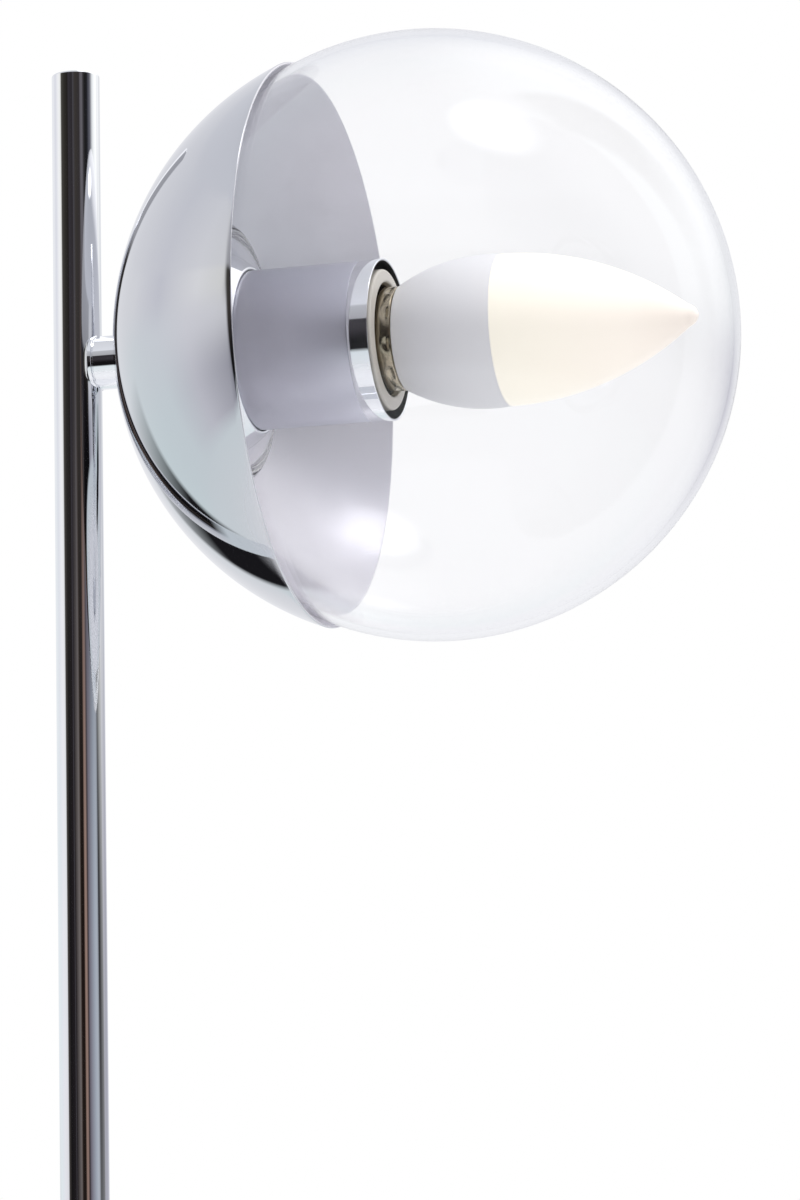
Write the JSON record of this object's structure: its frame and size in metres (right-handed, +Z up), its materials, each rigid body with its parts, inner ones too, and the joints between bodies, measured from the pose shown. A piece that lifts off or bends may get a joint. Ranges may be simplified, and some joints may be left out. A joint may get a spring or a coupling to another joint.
{
  "type": "table lamp",
  "caption": "Table lamp: clear glass globe in a polished chrome half dome, held on a short arm near the top of a slim straight pole on a round weighted base, with a lit candle bulb.",
  "frame": {"origin": "centre of the underside of the base, on the axis of the pole", "axes": "+Z up along the pole, +X from the pole through the head to the front of the globe, +Y to the left of +X"},
  "size_m": [0.2486, 0.16, 0.4703],
  "materials": {
    "chrome": "polished chrome plate on steel",
    "satin_nickel": "satin plated steel",
    "cast_iron": "bare cast iron, dark",
    "black_foam": "closed-cell foam pad",
    "black_plastic": "moulded plastic, matte",
    "zinc_steel": "zinc-plated steel",
    "cream_ceramic": "cream unglazed ceramic",
    "nickel_brass": "nickel-plated brass",
    "spring_bronze": "phosphor bronze strip",
    "brass": "turned brass",
    "clear_glass": "clear blown glass",
    "silicone": "translucent silicone",
    "opal_diffuser": "opal plastic, lit warm white",
    "white_plastic": "white moulded plastic",
    "circuit_board": "white circuit board",
    "brown_lead": "brown insulated lead",
    "blue_lead": "blue insulated lead"
  },
  "bodies": {
    "lamp": {"base_cover": "chrome", "pole_tube": "chrome", "pole_top_plug": "chrome", "head_arm": "chrome", "dome_shell": "chrome", "holder_cup": "chrome", "cover_ring": "chrome", "lampholder_cover": "satin_nickel", "base_weight": "cast_iron", "base_pad": "black_foam", "cord_gland": "black_plastic", "foot_nipple": "zinc_steel", "foot_washer": "zinc_steel", "foot_nut": "zinc_steel", "head_nipple": "zinc_steel", "dome_washer": "zinc_steel", "spacer_sleeve": "zinc_steel", "cover_lock_nut": "zinc_steel", "holder_bracket": "zinc_steel", "bracket_screws": "zinc_steel", "terminal_screws": "zinc_steel", "lampholder_body": "cream_ceramic", "screw_shell": "nickel_brass", "centre_contact": "spring_bronze", "terminal_blocks": "brass", "lead_live": "brown_lead", "lead_neutral": "blue_lead"},
    "gasket": {"globe_gasket": "silicone"},
    "globe": {"glass_globe": "clear_glass", "globe_collar": "clear_glass"},
    "bulb": {"bulb_diffuser": "opal_diffuser", "bulb_housing": "white_plastic", "bulb_cap": "nickel_brass", "bulb_insulator": "black_plastic", "bulb_contact": "nickel_brass", "led_board": "circuit_board", "driver_board": "circuit_board"}
  },
  "joints": [
    {"name": "globe_pull", "type": "slide", "parent": "lamp", "child": "gasket", "axis": [1, 0, 0], "range_m": [0, 0.15]},
    {"name": "globe_turn", "type": "hinge", "parent": "gasket", "child": "globe", "pos_m": [0.0914, 0, 0.3958], "axis": [1, 0, 0], "continuous": true},
    {"name": "bulb_turn", "type": "hinge", "parent": "lamp", "child": "bulb", "pos_m": [0.0914, 0, 0.3958], "axis": [1, 0, 0], "continuous": true}
  ]
}
